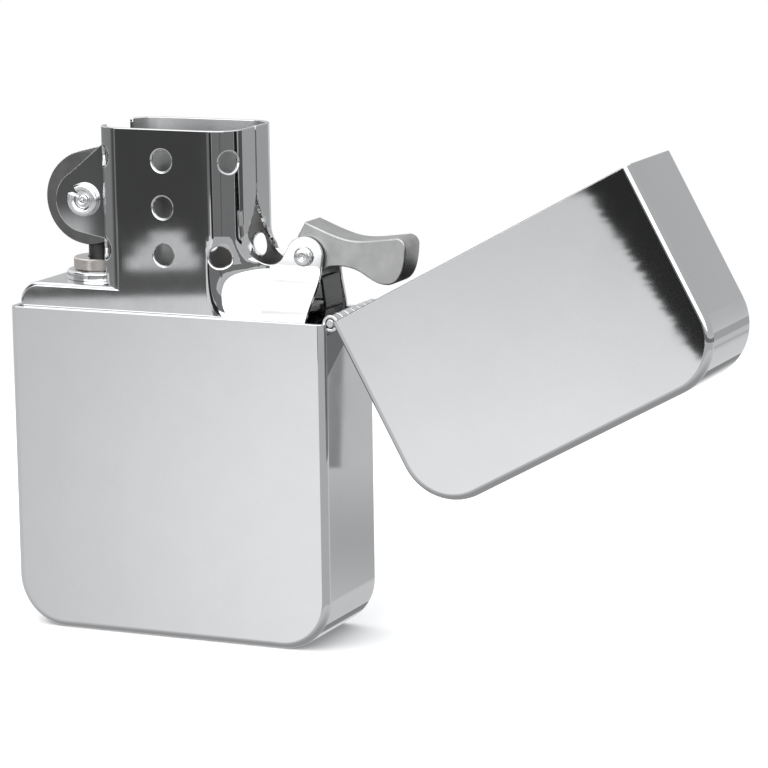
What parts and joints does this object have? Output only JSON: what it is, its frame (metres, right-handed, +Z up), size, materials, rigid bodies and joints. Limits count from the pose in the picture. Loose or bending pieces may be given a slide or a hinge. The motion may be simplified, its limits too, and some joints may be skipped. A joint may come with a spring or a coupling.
{
  "type": "windproof petrol lighter",
  "caption": "Flip-top windproof pocket lighter: chrome case with hinged lid, slide-in insert with vented chimney, spark wheel, flint and cam lever.",
  "frame": {"origin": "centre of the case's flat bottom face", "axes": "+X from the striker side to the hinge, +Y from the front face to the back, +Z up from the bottom to the flame"},
  "size_m": [0.08, 0.0128, 0.0551],
  "materials": {
    "case_chrome": "bright chrome plate on brass, lightly satin",
    "hinge_chrome": "bright plate",
    "pin_steel": "plain drawn",
    "insert_steel": "polished stainless sheet",
    "eyelet_brass": "dull",
    "rivet_steel": "bright, peened",
    "tube_steel": "drawn",
    "flange_nickel": "bright nickel",
    "collar_nickel": "turned nickel",
    "spring_steel": "blued",
    "wick_cotton": "braided",
    "felt": "pressed wool felt",
    "cotton": "loose fibre",
    "cam_steel": "tumbled satin",
    "wheel_steel": "hardened, dark, filed teeth",
    "flint_alloy": "dark matte",
    "pusher_brass": "turned",
    "screw_brass": "turned, slotted"
  },
  "bodies": {
    "case": {"case_shell": "case_chrome", "case_hinge_leaf": "hinge_chrome", "hinge_pin": "pin_steel"},
    "lid": {"lid_shell": "case_chrome", "lid_hinge_leaf": "hinge_chrome"},
    "insert": {"insert_shell": "insert_steel", "wick_plate": "insert_steel", "wick_eyelet": "eyelet_brass", "wheel_rivet": "rivet_steel", "flint_tube": "tube_steel", "tube_flange": "flange_nickel", "tube_collar": "collar_nickel", "cam_rivet": "rivet_steel", "cam_spring": "spring_steel", "cam_spring_rivet": "rivet_steel", "wick": "wick_cotton", "felt_pad": "felt", "cotton_tuft_1": "cotton", "cotton_tuft_2": "cotton", "cotton_tuft_3": "cotton", "cotton_tuft_4": "cotton", "cotton_tuft_5": "cotton"},
    "cam": {"cam_lever": "cam_steel"},
    "spark_wheel": {"spark_wheel": "wheel_steel"},
    "flint": {"flint": "flint_alloy", "flint_pusher": "pusher_brass"},
    "flint_screw": {"flint_screw": "screw_brass", "flint_spring": "spring_steel"}
  },
  "joints": [
    {"name": "lid_hinge", "type": "hinge", "parent": "case", "child": "lid", "pos_m": [0.01914, 0, 0.03545], "axis": [0, 1, 0], "range_deg": [-151.4, 0]},
    {"name": "insert_slide", "type": "slide", "parent": "case", "child": "insert", "axis": [0, 0, 1], "range_m": [0, 0.04]},
    {"name": "cam_pivot", "type": "hinge", "parent": "insert", "child": "cam", "pos_m": [0.0149, 0, 0.0419], "axis": [0, 1, 0], "range_deg": [-91, 1]},
    {"name": "wheel_spin", "type": "hinge", "parent": "insert", "child": "spark_wheel", "pos_m": [-0.01075, 0, 0.047], "axis": [0, 1, 0], "continuous": true},
    {"name": "flint_slide", "type": "slide", "parent": "insert", "child": "flint", "axis": [0, 0, 1], "range_m": [-0.003, 0], "stiffness_N_per_m": 50, "deforming": ["flint_spring"]},
    {"name": "flint_screw_turn", "type": "hinge", "parent": "insert", "child": "flint_screw", "pos_m": [-0.01075, 0, 0.004], "axis": [0, 0, 1], "range_deg": [-360, 0]}
  ],
  "couplings": [
    {"joint": "cam_pivot", "follows": "lid_hinge", "ratio": 0.59445}
  ]
}
